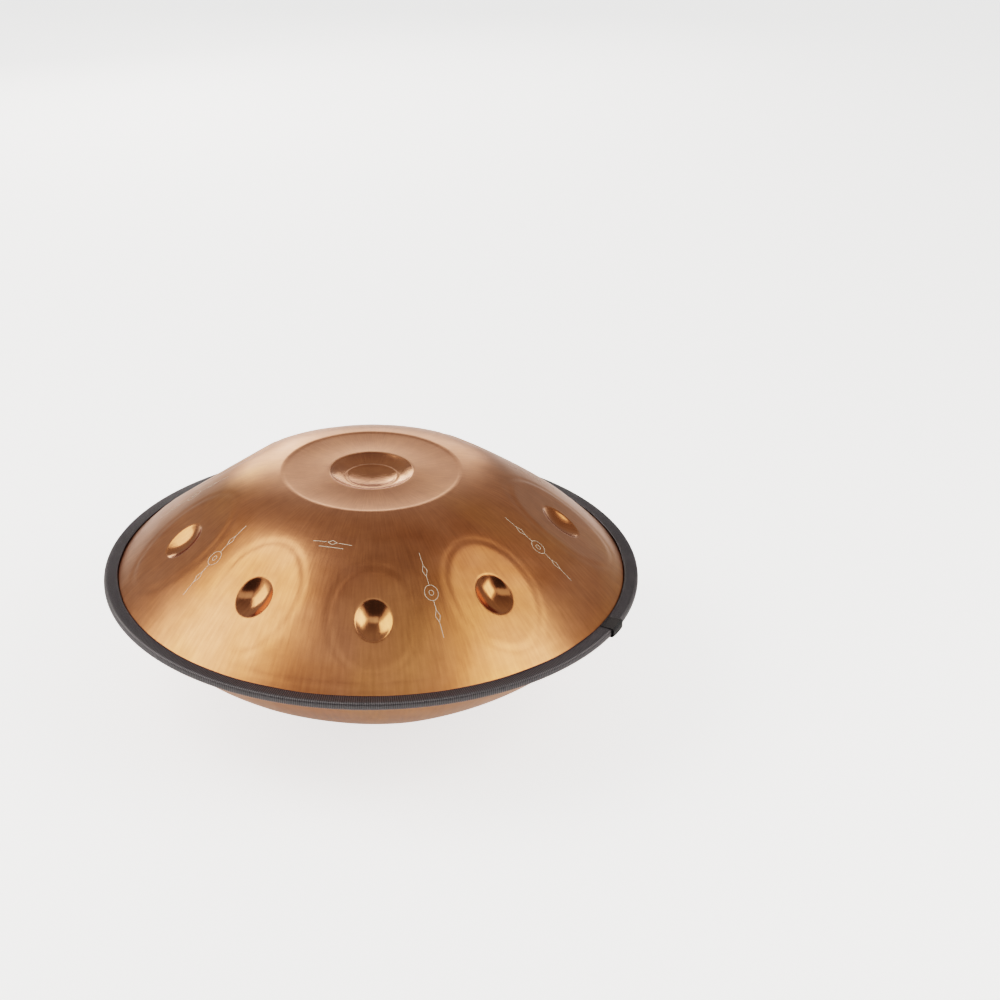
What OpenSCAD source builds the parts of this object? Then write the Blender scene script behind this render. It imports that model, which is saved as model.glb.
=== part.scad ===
// Handpan: a free-standing steel hand drum of two domed shells glued at their flanges.
// The playing shell has a central note and eight tone fields around it, and the joined
// flanges are wrapped by a rubber channel and a ribbed webbing band.
// The origin is the middle of the flat crown that the drum rests on, and +Z is up.

/* [Body] */
// Radius of the two steel flanges
flange_r = 265; // [258:1:272]
// Radius at which each flange turns up into its shell
flange_inner_r = 256.3; // [254:0.1:257]
// Depth of the lower shell, from the joint to the crown
bottom_depth = 122; // [116:1:128]
// Height of the playing shell, from the joint to the central note
top_height = 109.5; // [106:0.5:112]
// Thickness of the steel sheet
sheet_t = 1.2; // [1:0.1:1.4]
// Thickness of the glue line between the flanges
joint_gap = 0.3; // [0.2:0.1:0.5]

/* [Playing shell] */
// Radius of the level plateau of the central note
plateau_r = 90; // [87:0.5:92]
// How far the shell turns down at the edge of the plateau, in degrees
plateau_turn = 8; // [4:1:12]
// Radius of that edge, in section
edge_blend = 4; // [3:0.5:6]
// Radius of the arc from the plateau's edge to the shoulder, in section
plateau_blend = 150; // [120:5:170]
// Radius of the arc down the shoulder to the rim, in section
shoulder_r = 560; // [540:5:580]
// Radius of the dish in the middle of the plateau
dish_r = 42; // [40:0.5:44]
// Radius of the well in the middle of the dish
well_r = 24; // [22:0.5:26]
// Slopes of the dish wall at its lip and at its foot, in degrees
lip_slope = 32; // [28:1:36]
foot_slope = 8; // [6:1:10]
// Slope of the well at its edge, in degrees
well_slope = 19.5; // [16:0.5:22]
// Radius of the rounded edges of the dish and the well
dish_blend = 2; // [1.5:0.5:3]

/* [Tone fields] */
// Depth of the dimple in each tone field
dimple_depth = 7; // [5:0.5:8]
// Length of a dimple over its width
dimple_stretch = 1.2; // [1.1:0.05:1.3]

/* [Lower shell] */
// Radius of the flat at the crown, which the drum rests on
base_r = 32; // [26:1:38]
// Radius of the arc across the crown, in section
crown_r = 343; // [335:1:355]
// Radius of the arc up the side, in section
side_r = 262; // [250:1:270]

/* [Rim band] */
// Radius of the small bend between flange and shell
rim_blend = 3; // [2:0.5:3.5]
// Wall of the rubber channel over the flanges
channel_t = 1.6; // [1.2:0.1:1.8]
// Thickness of the glue film under the webbing
film_t = 0.2; // [0.1:0.1:0.3]
// Thickness of the webbing
webbing_t = 1; // [0.8:0.1:1.2]
// How far the webbing reaches in over the rim, from the edge of the flange
webbing_reach = 11; // [10:0.1:11]
// Gap between the two ends of the webbing, under the label
webbing_gap = 0.8; // [0.4:0.1:1.5]

/* [Label] */
// Direction of the label around the rim, in degrees
tag_angle = -25; // [-90:5:90]
// Width of the label along the rim
tag_w = 22; // [14:1:26]
// Thickness of the woven label
tag_t = 0.5; // [0.4:0.1:0.7]
// How far the label's fold stands out past the webbing
tag_proud = 2.6; // [1.5:0.1:3]
// Diameter of the sewing thread
thread_d = 0.6; // [0.4:0.1:0.8]
// Number of stitches across the label, on each face
stitch_count = 6; // [4:1:7]

/* [Hidden] */

// Azimuth, radius on the shell and width across the slope of each tone field,
// from the smallest and highest note round to the largest and back
FIELDS = [
    [-86.5, 198.5, 81],
    [-50, 194, 86],
    [0, 191, 96],
    [49, 190, 104],
    [98, 190, 108],
    [148, 190, 104],
    [-163, 191.5, 94],
    [-122, 193.5, 86]
];

// Faces of the stack at the rim, measured from the joint plane
steel_z = joint_gap / 2 + sheet_t;
channel_z = steel_z + channel_t;
webbing_z = channel_z + film_t + webbing_t;
tag_z = webbing_z + tag_t;
channel_r = flange_r + channel_t;
webbing_r = channel_r + film_t + webbing_t;
webbing_inner_r = flange_r - webbing_reach;
tag_r = webbing_r + tag_proud;
channel_inner_r = flange_inner_r + 0.2;
tag_inner_r = webbing_inner_r + 1;

// Radii inside the folds of the strips, each over the one before
channel_bend = 0.3;
film_bend = channel_bend + channel_t;
webbing_bend = film_bend + film_t;
tag_bend = 2;

// Distance from the label's inner edges to its stitches
stitch_inset = 1.2;

// Height of the blocks that cut the flats, well clear of the shell
cut_h = 30;

// Colours
steel = [0.69, 0.50, 0.35];
glue = [0.80, 0.78, 0.70];
rubber = [0.07, 0.07, 0.07];
webbing = [0.20, 0.18, 0.18];
label = [0.05, 0.05, 0.06];
thread = [0.12, 0.12, 0.12];

// Points along an arc about c, from angle a0 to angle a1
function arc(c, r, a0, a1, steps = 8) =
    [for (i = [0:steps]) let (a = a0 + (a1 - a0) * i / steps) c + r * [cos(a), sin(a)]];

// Direction square to a surface that rises outward at slope degrees
function up_from(slope) = [-sin(slope), cos(slope)];

// Direction from one point to another, in degrees
function heading(from, to) = atan2(to[1] - from[1], to[0] - from[0]);

// Where two circles cross, on the left of the way from c1 to c2
function crossing(c1, r1, c2, r2) =
    let (d = norm(c2 - c1))
    let (along = (r1 * r1 - r2 * r2 + d * d) / (2 * d))
    let (aside = sqrt(r1 * r1 - along * along))
    let (u = (c2 - c1) / d)
    c1 + along * u + aside * [-u[1], u[0]];

// Centres of the arcs in the section of the playing shell
wall_r = (dish_r - well_r) / (sin(lip_slope) - sin(foot_slope)) - dish_blend;
bowl_r = well_r / sin(well_slope) - dish_blend;
lip_c = [dish_r, top_height - dish_blend];
wall_c = lip_c + (dish_blend + wall_r) * up_from(lip_slope);
well_c = wall_c - (dish_blend + wall_r) * up_from(foot_slope);
bowl_c = [0, well_c[1] + (dish_blend + bowl_r) * cos(well_slope)];
edge_c = [plateau_r, top_height - edge_blend];
plateau_c = edge_c + (edge_blend - plateau_blend) * up_from(-plateau_turn);
rim_c = [flange_inner_r, steel_z + rim_blend];
shoulder_c = crossing(rim_c, shoulder_r + rim_blend, plateau_c, shoulder_r - plateau_blend);
shoulder_top = heading(shoulder_c, plateau_c);
shoulder_end = heading(shoulder_c, rim_c);

// Centres of the arcs in the section of the lower shell, drawn crown upwards
crown_c = [0, bottom_depth - sqrt(crown_r * crown_r - base_r * base_r)];
side_c = crossing(crown_c, crown_r - side_r, rim_c, side_r + rim_blend);
side_top = heading(crown_c, side_c);
side_end = heading(side_c, rim_c);
crown_end = acos(base_r / crown_r);

// Section of the playing shell from the middle out to the flange, set in by inset
function top_line(inset) = concat(
    arc(bowl_c, bowl_r + inset, -90, well_slope - 90, 5),
    arc(well_c, dish_blend - inset, 90 + well_slope, 90 + foot_slope, 2),
    arc(wall_c, wall_r + inset, foot_slope - 90, lip_slope - 90, 5),
    arc(lip_c, dish_blend - inset, 90 + lip_slope, 90, 3),
    arc(edge_c, edge_blend - inset, 90, 90 - plateau_turn, 2),
    arc(plateau_c, plateau_blend - inset, 90 - plateau_turn, shoulder_top, 6),
    arc(shoulder_c, shoulder_r - inset, shoulder_top, shoulder_end, 10),
    arc(rim_c, rim_blend + inset, 180 + shoulder_end, 270, 4)
);

// Section of the lower shell from the middle out to the flange, crown upwards, set in by inset
function bottom_line(inset) = concat(
    [[0, bottom_depth - inset]],
    arc(crown_c, crown_r - inset, crown_end, side_top, 14),
    arc(side_c, side_r - inset, side_top, side_end, 14),
    arc(rim_c, rim_blend + inset, 180 + side_end, 270, 4)
);

// Solid body below a section line: the outer one has the flange, the inner one runs through it
module outer_form(line) {
    rotate_extrude($fn = 180)
        polygon(concat(line, [[flange_r, steel_z], [flange_r, joint_gap / 2], [0, joint_gap / 2]]));
}

module inner_form(line) {
    rotate_extrude($fn = 180)
        polygon(concat(line, [[flange_inner_r, -1], [0, -1]]));
}

// Puts children on the shoulder, with local Z square to the sheet and X down the slope
module on_shoulder(azimuth, radius) {
    lean = asin((radius - shoulder_c[0]) / shoulder_r);
    rotate([0, 0, azimuth])
        translate([shoulder_c[0], 0, shoulder_c[1]])
            rotate([0, lean, 0])
                translate([0, 0, shoulder_r])
                    children();
}

// How deep a level cut has to go to be width across, where the shell curves sideways
function flat_depth(radius, width) =
    let (sideways_r = radius * shoulder_r / (radius - shoulder_c[0]))
    sideways_r - sqrt(sideways_r * sideways_r - width * width / 4);

// Widths of the dimples follow the fields, but vary less
function dimple_width(width) = 19 + 0.2 * width;

// Radius of a circle of which a cut depth deep is width across
function cut_radius(width, depth) = (width * width / 4 + depth * depth) / (2 * depth);

// Spindle along X, short_r thick at its middle, with sides curved at long_r
module spindle(short_r, long_r) {
    rotate([0, 90, 0])
        rotate_extrude($fn = 64)
            intersection() {
                translate([short_r - long_r, 0])
                    circle(r = long_r, $fn = 96);
                translate([0, -long_r])
                    square([short_r, 2 * long_r]);
            }
}

// What is pressed out of the shell for one tone field: the flat and its dimple
module field_cut(width, depth, inset) {
    cross_w = dimple_width(width);
    short_r = cut_radius(cross_w, dimple_depth);
    long_r = cut_radius(cross_w * dimple_stretch, dimple_depth);
    reach = sqrt(depth * (2 * shoulder_r - depth)) + 2;
    translate([-reach, -width, -depth - inset])
        cube([2 * reach, 2 * width, cut_h]);
    translate([0, 0, short_r - dimple_depth - depth])
        spindle(short_r + inset, long_r + inset);
}

module field_cuts(inset) {
    for (field = FIELDS)
        on_shoulder(field[0], field[1])
            field_cut(field[2], flat_depth(field[1], field[2]), inset);
}

module top_shell() {
    color(steel)
        translate([0, 0, bottom_depth])
            difference() {
                difference() {
                    outer_form(top_line(0));
                    field_cuts(0);
                }
                difference() {
                    inner_form(top_line(sheet_t));
                    field_cuts(sheet_t);
                }
            }
}

module bottom_shell() {
    color(steel)
        translate([0, 0, bottom_depth])
            mirror([0, 0, 1])
                difference() {
                    outer_form(bottom_line(0));
                    inner_form(bottom_line(sheet_t));
                }
}

module rim_adhesive() {
    color(glue)
        translate([0, 0, bottom_depth - joint_gap / 2])
            difference() {
                cylinder(r = flange_r, h = joint_gap, $fn = 180);
                translate([0, 0, -1])
                    cylinder(r = flange_inner_r + 1, h = joint_gap + 2, $fn = 180);
            }
}

// Section line folded over the rim, from inner_r out to fold_r, half_h above and below the joint
function fold_line(inner_r, fold_r, half_h, bend) = concat(
    [[inner_r, half_h]],
    arc([fold_r - bend, half_h - bend], bend, 90, 0, 5),
    arc([fold_r - bend, bend - half_h], bend, 0, -90, 5),
    [[inner_r, -half_h]]
);

// Strip folded over the rim: half_h and fold_r are its outside, bend is the radius inside its folds
module folded_strip(inner_r, fold_r, half_h, wall, bend) {
    inside = fold_line(inner_r, fold_r - wall, half_h - wall, bend);
    backwards = [for (i = [len(inside) - 1:-1:0]) inside[i]];
    polygon(concat(fold_line(inner_r, fold_r, half_h, bend + wall), backwards));
}

module edge_channel() {
    color(rubber)
        translate([0, 0, bottom_depth])
            rotate_extrude($fn = 180)
                folded_strip(channel_inner_r, channel_r, channel_z, channel_t, channel_bend);
}

module band_adhesive() {
    color(glue)
        translate([0, 0, bottom_depth])
            rotate_extrude($fn = 180)
                folded_strip(channel_inner_r, channel_r + film_t, channel_z + film_t, film_t, film_bend);
}

module rim_webbing() {
    gap_angle = webbing_gap / webbing_r * 180 / PI;
    color(webbing)
        translate([0, 0, bottom_depth])
            rotate([0, 0, tag_angle + gap_angle / 2])
                rotate_extrude(angle = 360 - gap_angle, $fn = 180)
                    folded_strip(webbing_inner_r, webbing_r, webbing_z, webbing_t, webbing_bend);
}

module band_tag() {
    tag_span = tag_w / webbing_r * 180 / PI;
    color(label)
        translate([0, 0, bottom_depth])
            rotate([0, 0, tag_angle - tag_span / 2])
                rotate_extrude(angle = tag_span, $fn = 360)
                    folded_strip(tag_inner_r, tag_r, tag_z, tag_t, tag_bend);
}

module tag_stitches() {
    stitch_pitch = (tag_w - 2) / stitch_count;
    stitch_len = 0.7 * stitch_pitch;
    color(thread)
        translate([0, 0, bottom_depth])
            rotate([0, 0, tag_angle])
                for (side = [-1, 1])
                    for (i = [0:stitch_count - 1])
                        translate([
                            tag_inner_r + stitch_inset,
                            (i - (stitch_count - 1) / 2) * stitch_pitch - stitch_len / 2,
                            side * (tag_z + thread_d / 2)
                        ])
                            rotate([-90, 0, 0])
                                cylinder(d = thread_d, h = stitch_len, $fn = 16);
}

top_shell();
bottom_shell();
rim_adhesive();
edge_channel();
band_adhesive();
rim_webbing();
band_tag();
tag_stitches();
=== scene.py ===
"""A handpan's looks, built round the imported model: hammered steel shells, a ribbed band and its label.

The shells and the band are designed in millimetres, in the row frame, and turned to metres when a mesh
is made. Azimuths are in degrees, counted from +X towards +Y.
"""

import math

import bpy
import numpy as np
from mathutils import Matrix, Vector


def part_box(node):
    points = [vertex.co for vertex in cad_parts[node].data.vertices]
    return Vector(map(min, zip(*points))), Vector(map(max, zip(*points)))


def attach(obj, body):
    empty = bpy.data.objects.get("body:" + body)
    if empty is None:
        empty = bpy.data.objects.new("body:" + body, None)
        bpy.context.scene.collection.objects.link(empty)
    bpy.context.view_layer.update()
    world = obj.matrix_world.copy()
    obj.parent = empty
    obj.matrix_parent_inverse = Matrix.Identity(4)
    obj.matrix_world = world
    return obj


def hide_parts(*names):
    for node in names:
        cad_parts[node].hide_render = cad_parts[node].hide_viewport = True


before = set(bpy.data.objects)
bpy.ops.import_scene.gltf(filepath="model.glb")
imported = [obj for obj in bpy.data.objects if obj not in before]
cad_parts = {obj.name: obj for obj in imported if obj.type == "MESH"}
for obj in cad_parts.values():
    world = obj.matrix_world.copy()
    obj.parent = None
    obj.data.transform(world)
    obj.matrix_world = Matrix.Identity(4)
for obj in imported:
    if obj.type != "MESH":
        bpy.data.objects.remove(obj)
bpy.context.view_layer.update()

MM = 0.001


# ---------------------------------------------------------------- sizes


def node_box(node):
    """A CAD node's lowest and highest corners, in millimetres."""
    low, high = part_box(node)
    return np.array(low) / MM, np.array(high) / MM


band_low, band_high = node_box("rim_webbing")
JOINT_Z = (band_low[2] + band_high[2]) / 2
TOP_H = node_box("top_shell")[1][2] - JOINT_Z
BOTTOM_D = JOINT_Z
FLANGE_R = node_box("rim_adhesive")[1].max()
BAND_R = band_high.max()
BAND_Z = band_high[2] - JOINT_Z

# Steel sheet and rim
SHEET = 1.2
STEEL_Z = 1.35
BEND_R = 3
FLANGE_IN = 256.3

# Section of the playing shell: radii, slopes in degrees and rounding radii
PLATEAU_R = 90
PLATEAU_TURN = 8
EDGE_BLEND = 4
PLATEAU_BLEND = 150
SHOULDER_R = 560
DISH_R = 42
WELL_R = 24
LIP_SLOPE = 32
FOOT_SLOPE = 8
WELL_SLOPE = 19.5
DISH_BLEND = 2

# Section of the lower shell: its flat and two arcs
BASE_R = 32
CROWN_R = 343
SIDE_R = 262

# Azimuth of each tone field, distance of its middle from the axis, and width
FIELDS = [
    (-86.5, 198.5, 81),
    (-50, 194, 86),
    (0, 191, 96),
    (49, 190, 104),
    (98, 190, 108),
    (148, 190, 104),
    (-163, 191.5, 94),
    (-122, 193.5, 86),
]
DIMPLE_DEPTH = 7
DIMPLE_STRETCH = 1.2

# Height, radius and width of low rings on the playing shell: at the plateau's edge, a groove near the
# rim, and the crease of the well. The plateau is hollow by PLATEAU_HOLLOW between dish and edge.
SHELL_RINGS = [(0.22, PLATEAU_R - 2, 2), (-0.2, 246.5, 1.3), (0.5, WELL_R + 1, 1.3)]
PLATEAU_HOLLOW = 0.8

# A tone field: heights of its flat's crown, of the rounding at its edge and of the groove round it. The
# groove's place and width, and both reaches, are parts of the way from the middle to the edge.
FIELD_CROWN = 0.25
FIELD_SOFTNESS = 0.2
FIELD_GROOVE = 0.45
GROOVE_AT = 1.04
GROOVE_W = 0.065
FIELD_REACH = 1.25
DIMPLE_LIP = 0.5
DIMPLE_REACH = 1.4

# Points more than this below a field's middle are on another part of the shell
NEAR_SIDE = 30

# Hammer waves: wavelength, height and how many run across. They fade out over FADE_W, which ends
# FADE_IN short of the bend at the rim, and over BASE_FADE_W round the flat of the lower shell.
TOP_WAVES = [(110, 0.10, 9), (46, 0.03, 12)]
TOP_SEED = 11
BOTTOM_WAVES = [(120, 0.22, 9), (52, 0.07, 12), (24, 0.012, 14)]
BOTTOM_SEED = 23
FADE_IN = 3
FADE_W = 20
BASE_FADE_W = 30

# Mesh: where the rings of points change their spacing, and columns round a shell
EDGE_START = PLATEAU_R - 6
DIMPLES_IN = 24
DIMPLES_OUT = 22
BEND_GAP = 1.2
TOP_COLUMNS = 660
BOTTOM_COLUMNS = 480
COARSER = 4


# ---------------------------------------------------------------- sections


def direction(angle):
    """Unit vectors at angles given in degrees."""
    a = np.radians(angle)
    return np.stack([np.cos(a), np.sin(a)], -1)


def heading(start, end):
    """Angle of the way from one point to another, in degrees."""
    return math.degrees(math.atan2(end[1] - start[1], end[0] - start[0]))


def crossing(c1, r1, c2, r2):
    """Where two circles cross, on the left of the way from c1 to c2."""
    c1, c2 = np.array(c1, float), np.array(c2, float)
    d = np.linalg.norm(c2 - c1)
    along = (r1 * r1 - r2 * r2 + d * d) / (2 * d)
    u = (c2 - c1) / d
    return c1 + along * u + math.sqrt(r1 * r1 - along * along) * np.array([-u[1], u[0]])


def arc(c, r, a0, a1, gap):
    """Points along an arc, about gap apart."""
    steps = max(2, math.ceil(abs(math.radians(a1 - a0)) * r / gap))
    return np.array(c) + r * direction(np.linspace(a0, a1, steps + 1))


def straight(p, q, gap):
    """Points along a line, about gap apart."""
    p, q = np.array(p, float), np.array(q, float)
    steps = max(1, math.ceil(np.linalg.norm(q - p) / gap))
    return p + (q - p) * np.linspace(0, 1, steps + 1)[:, None]


def run(*stretches):
    """Stretches joined end to end, without the points they share."""
    return np.concatenate([stretches[0]] + [s[1:] for s in stretches[1:]])


def up_from(slope):
    """Direction square to a surface that rises outward at slope degrees."""
    return direction(90 + slope)


def sine(slope):
    """Sine of an angle given in degrees."""
    return math.sin(math.radians(slope))


# Centres and radii of the sections' arcs, with heights counted from the joint
WALL_R = (DISH_R - WELL_R) / (sine(LIP_SLOPE) - sine(FOOT_SLOPE)) - DISH_BLEND
BOWL_R = WELL_R / sine(WELL_SLOPE) - DISH_BLEND
LIP_C = np.array([DISH_R, TOP_H - DISH_BLEND])
WALL_C = LIP_C + (DISH_BLEND + WALL_R) * up_from(LIP_SLOPE)
WELL_C = WALL_C - (DISH_BLEND + WALL_R) * up_from(FOOT_SLOPE)
BOWL_C = WELL_C + (DISH_BLEND + BOWL_R) * up_from(WELL_SLOPE)
EDGE_C = np.array([PLATEAU_R, TOP_H - EDGE_BLEND])
PLATEAU_C = EDGE_C + (EDGE_BLEND - PLATEAU_BLEND) * up_from(-PLATEAU_TURN)
RIM_C = (FLANGE_IN, STEEL_Z + BEND_R)
SHOULDER_C = crossing(RIM_C, SHOULDER_R + BEND_R, PLATEAU_C, SHOULDER_R - PLATEAU_BLEND)
CROWN_C = (0, BOTTOM_D - math.sqrt(CROWN_R**2 - BASE_R**2))
SIDE_C = crossing(CROWN_C, CROWN_R - SIDE_R, RIM_C, SIDE_R + BEND_R)


def plateau_line(inset, gap):
    """Section of the playing shell from the middle to near the plateau's edge."""
    bowl = arc(BOWL_C, BOWL_R + inset, -90, WELL_SLOPE - 90, gap)
    bowl[0, 0] = 0
    return run(
        bowl,
        arc(WELL_C, DISH_BLEND - inset, 90 + WELL_SLOPE, 90 + FOOT_SLOPE, gap / 4),
        arc(WALL_C, WALL_R + inset, FOOT_SLOPE - 90, LIP_SLOPE - 90, gap / 2),
        arc(LIP_C, DISH_BLEND - inset, 90 + LIP_SLOPE, 90, gap / 6),
        straight((DISH_R, TOP_H - inset), (EDGE_START, TOP_H - inset), gap),
    )


def shoulder_line(inset, gap, dimple_gap):
    """Section from there to the bend at the rim, finer where the dimples are."""
    top = heading(SHOULDER_C, PLATEAU_C)
    end = heading(SHOULDER_C, RIM_C)
    radii = [f[1] for f in FIELDS]
    angles = [
        math.degrees(math.acos((r - SHOULDER_C[0]) / SHOULDER_R))
        for r in (min(radii) - DIMPLES_IN, max(radii) + DIMPLES_OUT)
    ]
    r = SHOULDER_R - inset
    return run(
        straight((EDGE_START, TOP_H - inset), (PLATEAU_R, TOP_H - inset), gap / 3),
        arc(EDGE_C, EDGE_BLEND - inset, 90, 90 - PLATEAU_TURN, gap / 6),
        arc(PLATEAU_C, PLATEAU_BLEND - inset, 90 - PLATEAU_TURN, top, gap),
        arc(SHOULDER_C, r, top, angles[0], gap),
        arc(SHOULDER_C, r, angles[0], angles[1], dimple_gap),
        arc(SHOULDER_C, r, angles[1], end, gap),
        arc(RIM_C, BEND_R + inset, 180 + end, 270, BEND_GAP),
    )


def dome_line(inset, gap):
    """Section of the lower shell from its flat to the bend at the rim, crown upwards."""
    base = math.degrees(math.acos(BASE_R / CROWN_R))
    join = heading(CROWN_C, SIDE_C)
    end = heading(SIDE_C, RIM_C)
    return run(
        straight((0, BOTTOM_D - inset), (BASE_R, BOTTOM_D - inset), gap),
        arc(CROWN_C, CROWN_R - inset, base, join, gap),
        arc(SIDE_C, SIDE_R - inset, join, end, gap),
        arc(RIM_C, BEND_R + inset, 180 + end, 270, BEND_GAP),
    )


# ---------------------------------------------------------------- hammered surface


def smooth_min(a, b, k):
    """The lower of two heights, with the corner between them rounded over k."""
    h = np.maximum(k - np.abs(a - b), 0) / k
    return np.minimum(a, b) - h * h * k / 4


def ripple(points, waves, seed):
    """Height of gentle hammer waves that run across in random directions."""
    rng = np.random.default_rng(seed)
    total = np.zeros(len(points))
    for length, height, count in waves:
        ways = rng.normal(size=(count, 3))
        ways /= np.linalg.norm(ways, axis=1)[:, None]
        phases = rng.uniform(0, 2 * np.pi, count)
        spread = rng.uniform(0.8, 1.25, count)
        turns = points @ ways.T * (2 * np.pi / length * spread) + phases
        total += height * np.sin(turns).sum(1) * math.sqrt(2 / count)
    return total


def bump(x, centre, width):
    """A smooth bump, 1 high at its centre."""
    return np.exp(-(((x - centre) / width) ** 2))


def field_frame(azimuth, radius):
    """A tone field's middle on the shoulder, and its axes down the slope, sideways and outward."""
    lean = math.asin((radius - SHOULDER_C[0]) / SHOULDER_R)
    a = math.radians(azimuth)
    out = np.array([math.cos(a), math.sin(a), 0])
    up = np.array([0, 0, 1])
    z = SHOULDER_C[1] + SHOULDER_R * math.cos(lean)
    down = out * math.cos(lean) - up * math.sin(lean)
    side = np.array([-math.sin(a), math.cos(a), 0])
    normal = out * math.sin(lean) + up * math.cos(lean)
    return out * radius + up * z, down, side, normal


def dimple_distance(down, sideways, width):
    """Distance from the middle of the dimple in a tone field of some width: 1 at the dimple's edge."""
    half = (19 + 0.2 * width) / 2
    return np.sqrt((down / (half * DIMPLE_STRETCH)) ** 2 + (sideways / half) ** 2)


def press_fields(points, inset):
    """Presses the flats and dimples of the tone fields into points of the playing shell."""
    for azimuth, radius, width in FIELDS:
        centre, down, side, normal = field_frame(azimuth, radius)
        sideways_r = radius * SHOULDER_R / (radius - SHOULDER_C[0])
        depth = sideways_r - math.sqrt(sideways_r**2 - width**2 / 4)
        reach = math.sqrt(depth * (2 * SHOULDER_R - depth))
        d = points - centre
        u, v, w = d @ down, d @ side, d @ normal
        oval = np.sqrt((u / reach) ** 2 + (v / (width / 2)) ** 2)
        flat = FIELD_CROWN * (1 - oval**2) - depth - inset
        near = oval < FIELD_REACH
        lowered = np.where(near, smooth_min(w, flat, FIELD_SOFTNESS), w)
        lowered -= np.where(near, FIELD_GROOVE * bump(oval, GROOVE_AT, GROOVE_W), 0)
        dimple = dimple_distance(u, v, width)
        bowl = DIMPLE_DEPTH * (dimple**2 - 1)
        close = (dimple < DIMPLE_REACH) & (w > -NEAR_SIDE)
        lowered += np.where(close, smooth_min(bowl, 0, DIMPLE_LIP), 0)
        points = points + (lowered - w)[:, None] * normal
    return points


def faded(radius):
    """1 over the shell, falling to 0 at the rim."""
    return np.clip((FLANGE_IN - FADE_IN - radius) / FADE_W, 0, 1)


def playing_surface(r, z, azimuth, inset=0):
    """Points of the hammered playing shell from section points and azimuths, in the row frame."""
    along = direction(azimuth)
    points = np.stack([r * along[:, 0], r * along[:, 1], z], -1)
    for height, radius, width in SHELL_RINGS:
        points[:, 2] += height * bump(r, radius, width)
    across = (r - (DISH_R + PLATEAU_R) / 2) / ((PLATEAU_R - DISH_R) / 2)
    points[:, 2] -= PLATEAU_HOLLOW * np.clip(1 - across**2, 0, 1)
    points[:, 2] += ripple(points, TOP_WAVES, TOP_SEED) * faded(r)
    points = press_fields(points, inset)
    points[:, 2] += JOINT_Z
    return points


def lower_surface(r, z, azimuth, inset=0):
    """Points of the hammered lower shell, in the row frame. Its sections already hold the inset."""
    along = direction(azimuth)
    points = np.stack([r * along[:, 0], r * along[:, 1], -z], -1)
    waves = ripple(points, BOTTOM_WAVES, BOTTOM_SEED) * faded(r)
    points[:, 2] += waves * np.clip((r - BASE_R) / BASE_FADE_W, 0, 1) + JOINT_Z
    return points


# ---------------------------------------------------------------- meshes


def quads(first, second, count):
    """Faces between two rings of count points, from their first indices."""
    i = np.arange(count)
    j = (i + 1) % count
    return np.stack([first + i, second + i, second + j, first + j], -1).tolist()


def bridge(first, n, second, m):
    """Faces between two rings whose counts differ by a whole ratio, or where one is a single point."""
    if n == m:
        return quads(first, second, n)
    if n == 1:
        return [(first, second + i, second + (i + 1) % m) for i in range(m)]
    if m == 1:
        return [(first + i, second, first + (i + 1) % n) for i in range(n)]
    if m > n:
        flipped = bridge(second, m, first, n)
        return [tuple(reversed(face)) for face in flipped]
    ratio = n // m
    faces = []
    for i in range(m):
        near, far = second + i, second + (i + 1) % m
        half = ratio // 2
        for k in range(ratio):
            a, b = first + i * ratio + k, first + (i * ratio + k + 1) % n
            faces.append((a, near if k < half else far, b))
        middle = first + i * ratio + half
        faces.append((middle, near, far))
    return faces


def skin(rings):
    """All the points of a list of rings, and faces between each ring and the next."""
    faces = []
    start = 0
    for ring, after in zip(rings, rings[1:]):
        faces += bridge(start, len(ring), start + len(ring), len(after))
        start += len(ring)
    return np.concatenate(rings), faces


def new_object(name, points, faces, material, smooth=True):
    """A mesh object from points in metres."""
    mesh = bpy.data.meshes.new(name)
    mesh.from_pydata(np.asarray(points, float).tolist(), [], faces)
    mesh.validate()
    mesh.materials.append(material)
    mesh.polygons.foreach_set("use_smooth", [smooth] * len(mesh.polygons))
    thing = bpy.data.objects.new(name, mesh)
    bpy.context.scene.collection.objects.link(thing)
    return thing


def piece(thing, slot, *nodes):
    """Puts a finished piece on the one body, and hides the CAD nodes that it stands for, if any."""
    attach(thing, "root")
    if nodes:
        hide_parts(*nodes)
    return thing


def ring_mesh(name, rings, material, flip=False):
    """A closed skin over rings of points, in millimetres, that start and end with a single point."""
    points, faces = skin(rings)
    if flip:
        faces = [tuple(reversed(face)) for face in faces]
    return new_object(name, points * MM, faces, material)


def field_azimuths(count):
    """Azimuths all the way round, closer together where the dimples are."""
    fine = np.linspace(-180, 180, 7201)
    density = np.full(len(fine), 1.0)
    for azimuth, _, _ in FIELDS:
        away = (fine - azimuth + 180) % 360 - 180
        density += 2.2 * np.exp(-((away / 7.5) ** 8))
    total = np.concatenate([[0], np.cumsum((density[1:] + density[:-1]) / 2)])
    return np.interp(np.arange(count) / count * total[-1], total, fine)


def set_values(thing, name, values):
    """Stores one number per point on a mesh, for its material to read."""
    layer = thing.data.attributes.new(name, "FLOAT", "POINT")
    layer.data.foreach_set("value", np.asarray(values, np.float32))


def dimple_polish(points):
    """1 inside the dimples of the playing shell and in its dish, 0 on the brushed steel round them."""
    total = np.clip((DISH_R - 0.5 - np.hypot(points[:, 0], points[:, 1])) / 1.5, 0, 1)
    for azimuth, radius, width in FIELDS:
        centre, down, side, normal = field_frame(azimuth, radius)
        d = points - centre - (0, 0, JOINT_Z)
        inside = np.clip((1 - dimple_distance(d @ down, d @ side, width)) / 0.08, 0, 1)
        total = np.maximum(total, np.where(np.abs(d @ normal) < NEAR_SIDE, inside, 0))
    return total


def shell_rings(surface, line, azimuths, inset=0):
    """One ring of points for each point of a section line."""
    rings = []
    for r, z in line:
        here = azimuths if r > 0 else azimuths[:1]
        n = len(here)
        rings.append(surface(np.full(n, r), np.full(n, z), here, inset))
    return rings


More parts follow.
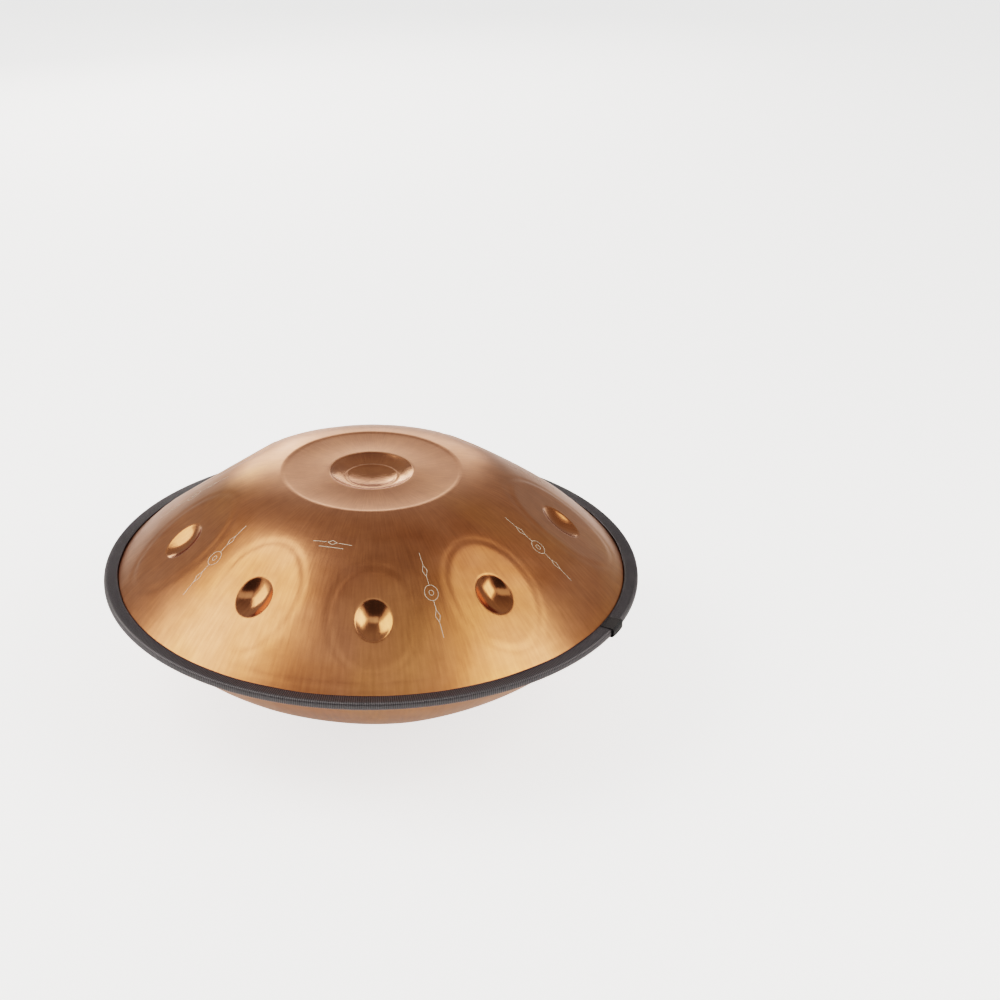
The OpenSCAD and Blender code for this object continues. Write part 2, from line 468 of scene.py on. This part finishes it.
def build_top_shell(material):
    """The playing shell: its outside from the middle to the rim, then its inside back to the middle."""
    fine = field_azimuths(TOP_COLUMNS)
    coarse = fine[::COARSER]
    outer = shell_rings(playing_surface, plateau_line(0, gap=2.4), coarse)
    shoulder = shoulder_line(0, gap=2.9, dimple_gap=1.3)[1:]
    outer += shell_rings(playing_surface, shoulder, fine)
    edge = [(FLANGE_R, STEEL_Z), (FLANGE_R, STEEL_Z - SHEET)]
    outer += shell_rings(playing_surface, edge, coarse)
    inner_line = run(plateau_line(SHEET, gap=4), shoulder_line(SHEET, gap=5, dimple_gap=4))
    inner = shell_rings(playing_surface, inner_line[::-1], coarse, SHEET)
    shell = ring_mesh("playing_shell", outer + inner, material)
    set_values(shell, "polish", dimple_polish(np.concatenate(outer + inner)))
    return shell


def build_bottom_shell(material):
    """The lower shell, built like the playing shell but turned over."""
    around = np.linspace(-180, 180, BOTTOM_COLUMNS, endpoint=False)
    outer = shell_rings(lower_surface, dome_line(0, gap=2.6), around)
    edge = [(FLANGE_R, STEEL_Z), (FLANGE_R, STEEL_Z - SHEET)]
    outer += shell_rings(lower_surface, edge, around[::COARSER])
    inner = shell_rings(lower_surface, dome_line(SHEET, gap=5)[::-1], around[::COARSER])
    return ring_mesh("lower_shell", outer + inner, material, flip=True)


# ---------------------------------------------------------------- band, label and stitches

# RIB_SWING is half the height of a rib. WEBBING and TAG are thicknesses.
RIB_PITCH = 2.05
RIB_SWING = 0.26
COLUMNS_PER_RIB = 4
WEBBING = 1.0
WEBBING_BEND = 2.1
WEBBING_IN = FLANGE_R - 11
SELVEDGE_W = 1.2
SELVEDGE_WAVER = 0.12
WAVER_SEED = 5
SEAM_W = 0.8

# The label's fold stands TAG_LOOP past the band and bends back by TAG_SAG at its sides
TAG_AZIMUTH = -25
TAG_W = 22
TAG = 0.5
TAG_BEND = 2
TAG_LOOP = 2.6
TAG_SAG = 0.7
TAG_R = BAND_R + TAG_LOOP

# Stitches on each face of the label
STITCH_COUNT = 6
THREAD_R = 0.3


def fold_line(inner_r, fold_r, half_h, bend, gap, bend_gap):
    """Section folded over the rim, from the upper inner edge round to the lower one."""
    upper, lower = (fold_r - bend, half_h - bend), (fold_r - bend, bend - half_h)
    return run(
        straight((inner_r, half_h), (fold_r - bend, half_h), gap),
        arc(upper, bend, 90, 0, bend_gap),
        straight((fold_r, half_h - bend), (fold_r, bend - half_h), gap),
        arc(lower, bend, 0, -90, bend_gap),
        straight((fold_r - bend, -half_h), (inner_r, -half_h), gap),
    )


def strip_loop(inner_r, fold_r, half_h, wall, bend, gap):
    """Closed section of a folded strip and, for each point, how much of a rib it carries."""
    outside = fold_line(inner_r, fold_r, half_h, bend + wall, gap, gap / 2)
    inside = fold_line(inner_r, fold_r - wall, half_h - wall, bend, gap * 6, gap)[::-1]
    ribbed = np.concatenate([np.ones(len(outside)), np.zeros(len(inside))])
    return np.concatenate([outside, inside]), ribbed


def outward(loop):
    """Unit normals of a closed section, pointing away from it."""
    ahead = np.roll(loop, -1, 0) - np.roll(loop, 1, 0)
    normal = np.stack([-ahead[:, 1], ahead[:, 0]], -1)
    return normal / np.linalg.norm(normal, axis=1)[:, None]


def sweep(name, loop_at, azimuths, material):
    """Sweeps a closed section round the drum, with a cap on each end."""
    columns = []
    for azimuth in azimuths:
        loop = loop_at(azimuth)
        along = direction(azimuth)
        flat = loop[:, :1] * along
        columns.append(np.concatenate([flat, loop[:, 1:] + JOINT_Z], 1))
    n = len(columns[0])
    faces = []
    for i in range(len(columns) - 1):
        faces += quads(i * n, (i + 1) * n, n)
    faces.append(tuple(range(n)))
    faces.append(tuple(reversed(range((len(columns) - 1) * n, len(columns) * n))))
    return new_object(name, np.concatenate(columns) * MM, faces, material)


def build_webbing(material):
    """The ribbed band folded over the rim. Its two ends meet at a seam under the label."""
    loop, ribbed = strip_loop(WEBBING_IN, BAND_R, BAND_Z, WEBBING, WEBBING_BEND, gap=2.2)
    normal = outward(loop)
    selvedge = np.clip(1 - (loop[:, 0] - WEBBING_IN) / SELVEDGE_W, 0, 1)
    ribs = int(2 * np.pi * BAND_R / RIB_PITCH)
    gap = math.degrees(SEAM_W / BAND_R)
    first = TAG_AZIMUTH + gap / 2
    azimuths = first + (360 - gap) * np.linspace(0, 1, ribs * COLUMNS_PER_RIB + 1)
    waver = np.random.default_rng(WAVER_SEED).uniform(0, 2 * np.pi, 4)

    def loop_at(azimuth):
        phase = (azimuth - first) / (360 - gap) * ribs
        rib = RIB_SWING * (np.cos(2 * np.pi * phase) - 1) * ribbed * (1 - 0.6 * selvedge)
        a = math.radians(azimuth)
        wander = sum(SELVEDGE_WAVER * math.sin((7 + 6 * i) * a + w) for i, w in enumerate(waver))
        moved = loop + normal * rib[:, None]
        moved[:, 0] += selvedge * wander
        return moved

    band = sweep("webbing_band", loop_at, azimuths, material)
    # 1 on each rib's crest and 0 in the gaps between ribs: the mask for the shade that the material paints
    # into the gaps
    rib_shade_values = np.cos(2 * np.pi * np.arange(len(azimuths)) / COLUMNS_PER_RIB) / 2 + 0.5
    set_values(band, "rib_shade_mask", (rib_shade_values[:, None] * ribbed).ravel())
    return band


def build_tag(material):
    """The label, folded over the band like the band over the rim."""
    span = math.degrees(TAG_W / BAND_R)
    loop, _ = strip_loop(WEBBING_IN + 1, TAG_R, BAND_Z + TAG, TAG, TAG_BEND, gap=0.5)
    azimuths = TAG_AZIMUTH + span * np.linspace(-0.5, 0.5, 61)

    def loop_at(azimuth):
        across = (azimuth - TAG_AZIMUTH) / (span / 2)
        moved = loop.copy()
        fold = np.clip((moved[:, 0] - BAND_R) / TAG_LOOP, 0, 1)
        moved[:, 0] -= fold * TAG_SAG * across**4
        return moved

    return sweep("folded_label", loop_at, azimuths, material)


def tube(path, radius, sides=8):
    """Points and faces of a tube with rounded ends along a path."""
    path = np.asarray(path, float)
    ahead = np.gradient(path, axis=0)
    ahead /= np.linalg.norm(ahead, axis=1)[:, None]
    side = np.cross(ahead, [0, 0, 1.0])
    side /= np.linalg.norm(side, axis=1)[:, None]
    up = np.cross(side, ahead)
    turn = direction(np.arange(sides) / sides * 360)
    rings = [path[:1] - ahead[0] * radius * 0.5]
    for p, s, t in zip(path, side, up):
        rings.append(p + radius * (turn[:, :1] * s + turn[:, 1:] * t))
    rings.append(path[-1:] + ahead[-1] * radius * 0.5)
    return skin(rings)


def joined(parts):
    """Several (points, faces) pairs as one."""
    points, faces, start = [], [], 0
    for some, theirs in parts:
        points.append(some)
        faces += [tuple(start + i for i in face) for face in theirs]
        start += len(some)
    return np.concatenate(points), faces


def build_stitches(material):
    """A row of short stitches on each face of the label, near its inner end."""
    pitch = (TAG_W - 2) / STITCH_COUNT
    parts = []
    out = np.append(direction(TAG_AZIMUTH), 0)
    side = np.array([-out[1], out[0], 0])
    up = np.array([0, 0, 1.0])
    for face in (-1, 1):
        for i in range(STITCH_COUNT):
            t = np.linspace(-1, 1, 9)
            x = (i - (STITCH_COUNT - 1) / 2 + 0.38 * t) * pitch
            lift = (BAND_Z + TAG + THREAD_R * 0.9) - 0.55 * np.abs(t) ** 5
            path = out * (WEBBING_IN + 2.2) + x[:, None] * side + (face * lift)[:, None] * up
            parts.append(tube(path + up * JOINT_Z, THREAD_R))
    points, faces = joined(parts)
    return new_object("label_stitches", points * MM, faces, material)


# ---------------------------------------------------------------- etched marks

MARK_PROUD = 0.1
MARK_SUNK = 0.15
MARK_W = 0.5
MARK_R = 181
MARK_AZIMUTHS = [-143, -69, -24, 24.5, 73.5, 123, 173]
FRONT_MARK_R = 133
FRONT_MARK_AZIMUTH = -103
WIDE_MARK_W = 0.6
BASE_RING_R = 39.0
BASE_RING_STEPS = 180


def ribbon(points, normals, width_way, width):
    """A thin closed strip along a line on a surface, a little proud of it and sunk into it."""
    half = width / 2 * width_way
    top, root = points + normals * MARK_PROUD, points - normals * MARK_SUNK
    rails = [top - half, top + half, root + half, root - half]
    n = len(points)
    verts = np.stack(rails, 1).reshape(-1, 3)
    faces = []
    for i in range(n - 1):
        for k in range(4):
            a, b = i * 4 + k, i * 4 + (k + 1) % 4
            faces.append((a, a + 4, b + 4, b))
    faces.append((0, 1, 2, 3))
    faces.append(tuple(reversed(range(n * 4 - 4, n * 4))))
    return verts, faces


def top_height(r):
    """Height of the playing shell's section at radius r, before hammering."""
    line = run(plateau_line(0, 1), shoulder_line(0, 1, 1))
    return np.interp(r, line[:, 0], line[:, 1])


def bottom_height(r):
    """Height of the lower shell's section at radius r, crown upwards, before hammering."""
    line = dome_line(0, 1)
    return np.interp(r, line[:, 0], line[:, 1])


def on_playing_shell(azimuth, x, y):
    """Points of the playing shell x outward from the axis and y sideways, seen from above."""
    r = np.hypot(x, y)
    return playing_surface(r, top_height(r), azimuth + np.degrees(np.arctan2(y, x)))


def etch(azimuth, radius, lines, width):
    """Ribbons on the playing shell for lines drawn (outward, sideways) in millimetres about a point."""
    parts = []
    for line in lines:
        x, y = radius + line[:, 0], line[:, 1]
        here = on_playing_shell(azimuth, x, y)
        du = on_playing_shell(azimuth, x + 0.5, y) - here
        dv = on_playing_shell(azimuth, x, y + 0.5) - here
        normals = np.cross(du, dv)
        normals /= np.linalg.norm(normals, axis=1)[:, None]
        ahead = np.gradient(here, axis=0)
        ways = np.cross(normals, ahead)
        ways /= np.linalg.norm(ways, axis=1)[:, None]
        parts.append(ribbon(here, normals, ways, width))
    return parts


def segment(x0, y0, x1, y1, steps=6):
    """Points along a straight stroke."""
    return np.linspace((x0, y0), (x1, y1), steps + 1)


def circle(x, y, radius, steps=32):
    """Points round a circle, with the first one again at the end."""
    return np.array([x, y]) + radius * direction(np.linspace(0, 360, steps + 1))


def diamond(x, y, long, wide):
    """The four sides of a diamond, from its half length and half width."""
    corners = [(x - long, y), (x, y + wide), (x + long, y), (x, y - wide)]
    return [segment(*corners[i], *corners[(i + 1) % 4], 3) for i in range(4)]


def build_top_marks(material):
    """A plain line with rings and two diamonds between tone fields, and a plain pair of lines in front."""
    parts = []
    lines = [segment(-36, 0, -24, 0), segment(-14, 0, -6.5, 0), segment(6.5, 0, 14, 0)]
    lines += [segment(24, 0, 36, 0), circle(0, 0, 6.5), circle(0, 0, 2.2, 16)]
    lines += diamond(-19, 0, 5, 2.4) + diamond(19, 0, 5, 2.4)
    for azimuth in MARK_AZIMUTHS:
        parts += etch(azimuth, MARK_R, lines, MARK_W)
    front = [segment(0, -19, 0, -6), segment(0, 6, 0, 19), segment(5, -12, 5, 12)]
    front += diamond(0, 0, 2.2, 4.5)
    parts += etch(FRONT_MARK_AZIMUTH, FRONT_MARK_R, front, WIDE_MARK_W)
    points, faces = joined(parts)
    return new_object("etched_marks", points * MM, faces, material, smooth=False)


def build_base_ring(material):
    """A plain ring on the lower shell, round the flat that the drum stands on."""
    count = BASE_RING_STEPS + 1
    r = np.full(count, BASE_RING_R)
    azimuths = np.linspace(0, 360, count)
    points = lower_surface(r, bottom_height(r), azimuths)
    normals = np.tile([0, 0, -1.0], (count, 1))
    ways = np.concatenate([direction(azimuths), np.zeros((count, 1))], 1)
    verts, faces = ribbon(points, normals, ways, WIDE_MARK_W)
    return new_object("base_ring_mark", verts * MM, faces, material, smooth=False)


# ---------------------------------------------------------------- materials

MAP_ENDS = ("From Min", "From Max", "To Min", "To Max")


class Shader:
    """A material's node tree, with short ways to add and join nodes."""

    def __init__(self, name):
        self.material = bpy.data.materials.new(name)
        self.material.use_nodes = True
        self.tree = self.material.node_tree
        self.bsdf = self.tree.nodes["Principled BSDF"]

    def add(self, kind, **settings):
        node = self.tree.nodes.new("ShaderNode" + kind)
        for key, value in settings.items():
            setattr(node, key, value)
        return node

    def join(self, source, target):
        self.tree.links.new(source, target)

    def place(self):
        """Where the shaded point is on its object, in metres."""
        return self.add("TexCoord").outputs["Object"]

    def value_of(self, name):
        """A number stored on the mesh."""
        return self.add("Attribute", attribute_name=name).outputs["Fac"]

    def scaled(self, vector, scale):
        node = self.add("VectorMath", operation="MULTIPLY")
        self.join(vector, node.inputs[0])
        node.inputs[1].default_value = (scale,) * 3
        return node.outputs[0]

    def math(self, operation, a, b=0.0):
        node = self.add("Math", operation=operation)
        for socket, value in zip(node.inputs, (a, b)):
            if isinstance(value, (int, float)):
                socket.default_value = value
            else:
                self.join(value, socket)
        return node.outputs[0]

    def noise(self, vector, scale, detail=2.0, rough=0.5, distortion=0.0):
        node = self.add("TexNoise")
        self.join(vector, node.inputs["Vector"])
        node.inputs["Scale"].default_value = scale
        node.inputs["Detail"].default_value = detail
        node.inputs["Roughness"].default_value = rough
        node.inputs["Distortion"].default_value = distortion
        return node.outputs["Fac"]

    def spread(self, value, low, high, out_low=0.0, out_high=1.0):
        """Maps a value's range to another, with its ends held."""
        node = self.add("MapRange")
        self.join(value, node.inputs["Value"])
        for name, number in zip(MAP_ENDS, (low, high, out_low, out_high)):
            node.inputs[name].default_value = number
        return node.outputs["Result"]

    def blend(self, factor, a, b, mode="MIX"):
        """Mixes two colours, each a tuple or a socket."""
        node = self.add("Mix", data_type="RGBA", blend_type=mode)
        if isinstance(factor, float):
            node.inputs["Factor"].default_value = factor
        else:
            self.join(factor, node.inputs["Factor"])
        for socket, value in ((node.inputs[6], a), (node.inputs[7], b)):
            if isinstance(value, tuple):
                socket.default_value = (*value, 1)
            else:
                self.join(value, socket)
        return node.outputs[2]

    def relief(self, height, distance, strength, under=None):
        """Bump: a normal tilted by a height, on top of another normal where there is one."""
        node = self.add("Bump")
        node.inputs["Distance"].default_value = distance
        node.inputs["Strength"].default_value = strength
        self.join(height, node.inputs["Height"])
        if under is not None:
            self.join(under, node.inputs["Normal"])
        return node.outputs["Normal"]

    def set(self, **values):
        """Sets or joins inputs of the surface, with _ for each space in their names."""
        for key, value in values.items():
            socket = self.bsdf.inputs[key.replace("_", " ")]
            if isinstance(value, (int, float)):
                socket.default_value = value
            elif isinstance(value, tuple):
                socket.default_value = (*value, 1)
            else:
                self.join(value, socket)


def around_axis(shader):
    """Unit direction from the drum's axis, and distance from it in millimetres."""
    parts = shader.add("SeparateXYZ")
    shader.join(shader.place(), parts.inputs[0])
    flat = shader.add("CombineXYZ")
    shader.join(parts.outputs["X"], flat.inputs["X"])
    shader.join(parts.outputs["Y"], flat.inputs["Y"])
    length = shader.add("VectorMath", operation="LENGTH")
    shader.join(flat.outputs[0], length.inputs[0])
    unit = shader.add("VectorMath", operation="NORMALIZE")
    shader.join(flat.outputs[0], unit.inputs[0])
    return unit.outputs[0], shader.math("MULTIPLY", length.outputs["Value"], 1000.0)


def polar(shader, unit, distance, around, along):
    """A vector that varies around times per radian and along times per millimetre outward."""
    turned = shader.scaled(unit, around)
    up = shader.add("CombineXYZ")
    shader.join(shader.math("MULTIPLY", distance, along), up.inputs["Z"])
    total = shader.add("VectorMath", operation="ADD")
    shader.join(turned, total.inputs[0])
    shader.join(up.outputs[0], total.inputs[1])
    return total.outputs[0]


def steel(name, deep, rosy, golden, pale):
    """Heat-coloured steel: satin, brushed from the middle outwards, with cloudy colour and gloss.

    The middle, out to the plateau's edge, is paler, and where the mesh says so the steel is smoother.
    """
    shader = Shader(name)
    place = shader.place()
    cloud = shader.noise(place, 9, detail=3, rough=0.55, distortion=0.4)
    mottle = shader.noise(place, 60, detail=4, rough=0.6)
    drift = shader.noise(place, 5.5, distortion=0.8)
    unit, distance = around_axis(shader)
    streak = shader.noise(polar(shader, unit, distance, 75.0, 0.05), 1.0, detail=1.5)
    turned = shader.noise(polar(shader, unit, distance, 9.0, 0.4), 1.0, detail=1)
    colour = shader.blend(shader.spread(cloud, 0.38, 0.64), deep, rosy)
    colour = shader.blend(shader.spread(drift, 0.48, 0.7, 0.0, 0.75), colour, golden)
    colour = shader.blend(shader.spread(distance, 84, 120, 0.7, 0.0), colour, pale)
    mottled = shader.spread(mottle, 0.3, 0.7, 0.92, 1.06)
    streaked = shader.spread(streak, 0.3, 0.7, 0.92, 1.07)
    shade = shader.math("MULTIPLY", mottled, streaked)
    tone = shader.add("CombineColor")
    for socket in list(tone.inputs)[:3]:
        shader.join(shade, socket)
    colour = shader.blend(1.0, colour, tone.outputs[0], "MULTIPLY")
    normal = shader.relief(streak, 0.00012, 0.5)
    normal = shader.relief(turned, 0.00006, 0.4, normal)
    patches = shader.noise(place, 22, detail=3, rough=0.6)
    brushed = shader.spread(patches, 0.3, 0.7, 0.285, 0.35)
    smoother = shader.math("MULTIPLY", shader.value_of("polish"), 0.13)
    rough = shader.math("SUBTRACT", brushed, smoother)
    shader.set(Base_Color=colour, Metallic=1.0, Roughness=rough, Normal=normal)
    return shader.material


def etched_material():
    """Bare, dull metal where a mark is etched through the colour."""
    shader = Shader("etched_metal")
    grain = shader.noise(shader.place(), 1500)
    colour = shader.blend(shader.spread(grain, 0.3, 0.7), (0.62, 0.52, 0.42), (0.80, 0.72, 0.62))
    shader.set(Base_Color=colour, Metallic=0.25, Roughness=0.62)
    return shader.material


def webbing_material():
    """Black nylon webbing: its ribs are in the mesh, its threads in the bump, and shade is painted near
    black into the gaps between the ribs.
    """
    shader = Shader("webbing_weave")
    place = shader.place()
    unit, distance = around_axis(shader)
    threads = shader.noise(polar(shader, unit, distance, 420.0, 2.2), 1.0, rough=0.6)
    wear = shader.noise(place, 30, detail=4, rough=0.6)
    fuzz = shader.noise(place, 2600)
    dark, light = (0.042, 0.036, 0.042), (0.125, 0.108, 0.125)
    colour = shader.blend(shader.spread(threads, 0.3, 0.75), dark, light)
    colour = shader.blend(shader.spread(wear, 0.5, 0.8, 0.0, 0.35), colour, (0.16, 0.14, 0.155))
    # Painted shade: the gaps between the ribs are painted near black, as if in shade, fading to the thread
    # colour on the crests
    rib_shade_mask = shader.spread(shader.value_of("rib_shade_mask"), 0.25, 0.95)
    colour = shader.blend(rib_shade_mask, (0.0015, 0.0012, 0.0014), colour)
    normal = shader.relief(threads, 0.0002, 0.6)
    normal = shader.relief(fuzz, 0.00006, 0.4, normal)
    rough = shader.spread(threads, 0.3, 0.7, 0.32, 0.5)
    shader.set(Base_Color=colour, Roughness=rough, Normal=normal, Specular_IOR_Level=1.0)
    shader.set(Coat_Weight=0.2, Coat_Roughness=0.22)
    return shader.material


def label_material():
    """Dense woven label: fine warp and weft, turned square to the label."""
    shader = Shader("label_weave")
    place = shader.place()
    turned = shader.add("VectorRotate", rotation_type="Z_AXIS")
    turned.inputs["Angle"].default_value = -math.radians(TAG_AZIMUTH)
    shader.join(place, turned.inputs["Vector"])
    parts = shader.add("SeparateXYZ")
    shader.join(turned.outputs[0], parts.inputs[0])
    warp = shader.math("SINE", shader.math("MULTIPLY", parts.outputs["Y"], 12000.0))
    weft = shader.math("SINE", shader.math("MULTIPLY", parts.outputs["X"], 12000.0))
    weave = shader.math("MULTIPLY", warp, weft)
    colour = shader.blend(shader.spread(weave, -1, 1), (0.006, 0.006, 0.007), (0.03, 0.03, 0.032))
    shader.set(Base_Color=colour, Roughness=0.7, Normal=shader.relief(weave, 0.00012, 0.8))
    shader.set(Sheen_Weight=0.1, Sheen_Roughness=0.5)
    return shader.material


def thread_material():
    """Black thread with light and dark strands."""
    shader = Shader("thread_fibre")
    strand = shader.noise(shader.place(), 3000)
    colour = shader.blend(shader.spread(strand, 0.3, 0.7), (0.01, 0.01, 0.01), (0.05, 0.05, 0.05))
    shader.set(Base_Color=colour, Roughness=0.6, Normal=shader.relief(strand, 0.00008, 0.5))
    return shader.material


def rubber_material():
    """Black rubber of the channel under the webbing."""
    shader = Shader("channel_rubber")
    grain = shader.noise(shader.place(), 1200, detail=3)
    colour = shader.blend(shader.spread(grain, 0.3, 0.7), (0.008, 0.008, 0.008), (0.022, 0.021, 0.02))
    shader.set(Base_Color=colour, Roughness=0.75, Normal=shader.relief(grain, 0.0001, 0.4))
    return shader.material


def glue_material():
    """Pale, cloudy glue."""
    shader = Shader("cured_glue")
    cloud = shader.noise(shader.place(), 250, detail=3)
    colour = shader.blend(shader.spread(cloud, 0.3, 0.7), (0.50, 0.46, 0.35), (0.66, 0.62, 0.52))
    shader.set(Base_Color=colour, Roughness=0.45, Normal=shader.relief(cloud, 0.0001, 0.3))
    return shader.material


def keep_node(node, material):
    """A CAD node that stays as it is, with a better material."""
    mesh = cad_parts[node].data
    mesh.materials.clear()
    mesh.materials.append(material)


# ---------------------------------------------------------------- studio

# Lengths from here on are in metres. SEEN_GLOW is how bright the camera sees the floor and backdrop glow.
RIM_CENTRE = Vector((0, 0, JOINT_Z * MM))
SEEN_GLOW = 0.95
FLOOR_R = 40
FLOOR_SIDES = 128

# The camera's place from the rim's centre, its tilt downwards and its roll
CAMERA_AWAY = (0.1275, -2.2146, 1.2076)
CAMERA_DOWN = 27
CAMERA_ROLL = 1.1

# Softboxes: name, azimuth, elevation, distance, width, height, radiance and colour
WHITE = (1.0, 1.0, 1.0)
WARM = (1.0, 0.925, 0.88)
SOFTBOXES = [
    ("left_softbox", 186, 41, 1.8, 1.3, 1.75, 1.8, WARM),
    ("left_glow", 192, 33, 2.3, 2.3, 2.3, 0.7, WARM),
    ("right_softbox", -18, 36, 1.8, 1.1, 1.0, 2.3, WARM),
    ("right_glow", -20, 38, 2.3, 2.2, 1.8, 0.6, WARM),
    ("back_panel", 109, 14, 2.1, 0.6, 0.7, 2.2, WARM),
    ("back_glow", 91, 16, 2.3, 1.15, 0.8, 1.45, WARM),
    ("front_fill", -90, 58, 2.2, 1.6, 0.7, 0.7, WHITE),
]


def studio_direction(azimuth, elevation):
    """Unit vector towards a place in the studio, from angles in degrees."""
    a, e = math.radians(azimuth), math.radians(elevation)
    return Vector((math.cos(e) * math.cos(a), math.cos(e) * math.sin(a), math.sin(e)))


def softbox(name, azimuth, elevation, distance, width, height, radiance, colour):
    """A rectangular light that faces the drum and isn't seen itself."""
    light = bpy.data.lights.new(name, "AREA")
    light.shape = "RECTANGLE"
    light.size = width
    light.size_y = height
    light.energy = radiance * math.pi * width * height
    light.color = colour
    lamp = bpy.data.objects.new(name, light)
    lamp.location = RIM_CENTRE + studio_direction(azimuth, elevation) * distance
    lamp.rotation_euler = (RIM_CENTRE - lamp.location).to_track_quat("-Z", "Y").to_euler()
    lamp.visible_camera = False
    bpy.context.scene.collection.objects.link(lamp)


def build_world():
    """Dim light for the steel to mirror, brighter towards +Y, and a pale backdrop for the camera."""
    world = bpy.data.worlds.new("studio")
    world.use_nodes = True
    tree = world.node_tree
    tree.nodes.clear()
    lit = tree.nodes.new("ShaderNodeBackground")
    lit.inputs["Color"].default_value = (1.0, 0.98, 0.95, 1)
    way = tree.nodes.new("ShaderNodeTexCoord")
    parts = tree.nodes.new("ShaderNodeSeparateXYZ")
    tree.links.new(way.outputs["Generated"], parts.inputs[0])
    strength = tree.nodes.new("ShaderNodeMapRange")
    tree.links.new(parts.outputs["Y"], strength.inputs["Value"])
    for name, number in zip(MAP_ENDS, (-0.7, 0.5, 0.07, 0.33)):
        strength.inputs[name].default_value = number
    tree.links.new(strength.outputs["Result"], lit.inputs["Strength"])
    seen = tree.nodes.new("ShaderNodeBackground")
    seen.inputs["Color"].default_value = (1.0, 1.0, 0.99, 1)
    seen.inputs["Strength"].default_value = SEEN_GLOW
    path = tree.nodes.new("ShaderNodeLightPath")
    mix = tree.nodes.new("ShaderNodeMixShader")
    out = tree.nodes.new("ShaderNodeOutputWorld")
    tree.links.new(path.outputs["Is Camera Ray"], mix.inputs[0])
    tree.links.new(lit.outputs[0], mix.inputs[1])
    tree.links.new(seen.outputs[0], mix.inputs[2])
    tree.links.new(mix.outputs[0], out.inputs["Surface"])
    bpy.context.scene.world = world


def build_floor():
    """A plain pale floor that glows a little, and more as the camera sees it, so that it stays even."""
    shader = Shader("pale_floor")
    tint = shader.noise(shader.place(), 3)
    colour = shader.blend(shader.spread(tint, 0.3, 0.7), (0.86, 0.86, 0.85), (0.88, 0.88, 0.87))
    path = shader.add("LightPath")
    glow = shader.spread(path.outputs["Is Camera Ray"], 0, 1, 0.25, SEEN_GLOW)
    shader.set(Base_Color=colour, Roughness=0.8)
    shader.set(Emission_Color=(1.0, 1.0, 0.99), Emission_Strength=glow)
    around = direction(np.linspace(0, 360, FLOOR_SIDES, endpoint=False)) * FLOOR_R
    points = np.concatenate([around, np.zeros((FLOOR_SIDES, 1))], 1)
    floor = new_object("floor", points, [tuple(range(FLOOR_SIDES))], shader.material)


def build_camera():
    """A view from in front, looking down, with a slight roll."""
    data = bpy.data.cameras.new("camera")
    data.sensor_width = 36
    data.lens = 90
    data.clip_end = 100
    camera = bpy.data.objects.new("camera", data)
    camera.location = RIM_CENTRE + Vector(CAMERA_AWAY)
    tilt = Matrix.Rotation(math.radians(90 - CAMERA_DOWN), 3, "X")
    roll = Matrix.Rotation(math.radians(CAMERA_ROLL), 3, "Z")
    camera.rotation_euler = (tilt @ roll).to_euler()
    bpy.context.scene.collection.objects.link(camera)
    bpy.context.scene.camera = camera


# ---------------------------------------------------------------- the drum in its studio

build_camera()
build_world()
for settings in SOFTBOXES:
    softbox(*settings)
build_floor()

playing_steel = steel(
    "playing_steel",
    deep=(0.42, 0.172, 0.076),
    rosy=(0.49, 0.218, 0.116),
    golden=(0.51, 0.228, 0.088),
    pale=(0.48, 0.225, 0.130),
)
lower_steel = steel(
    "lower_steel",
    deep=(0.41, 0.168, 0.068),
    rosy=(0.47, 0.208, 0.102),
    golden=(0.51, 0.234, 0.084),
    pale=(0.48, 0.212, 0.095),
)
etched_metal = etched_material()

piece(build_top_shell(playing_steel), "steel", "top_shell")
piece(build_bottom_shell(lower_steel), "steel", "bottom_shell")
piece(build_top_marks(etched_metal), "steel")
piece(build_base_ring(etched_metal), "steel")
piece(build_webbing(webbing_material()), "webbing", "rim_webbing")
piece(build_tag(label_material()), "label", "band_tag")
piece(build_stitches(thread_material()), "thread", "tag_stitches")
keep_node("rim_adhesive", glue_material())
keep_node("band_adhesive", glue_material())
keep_node("edge_channel", rubber_material())

scene = bpy.context.scene
scene.view_settings.view_transform = "Filmic"
scene.view_settings.look = "High Contrast"
scene.view_settings.exposure = 0.25
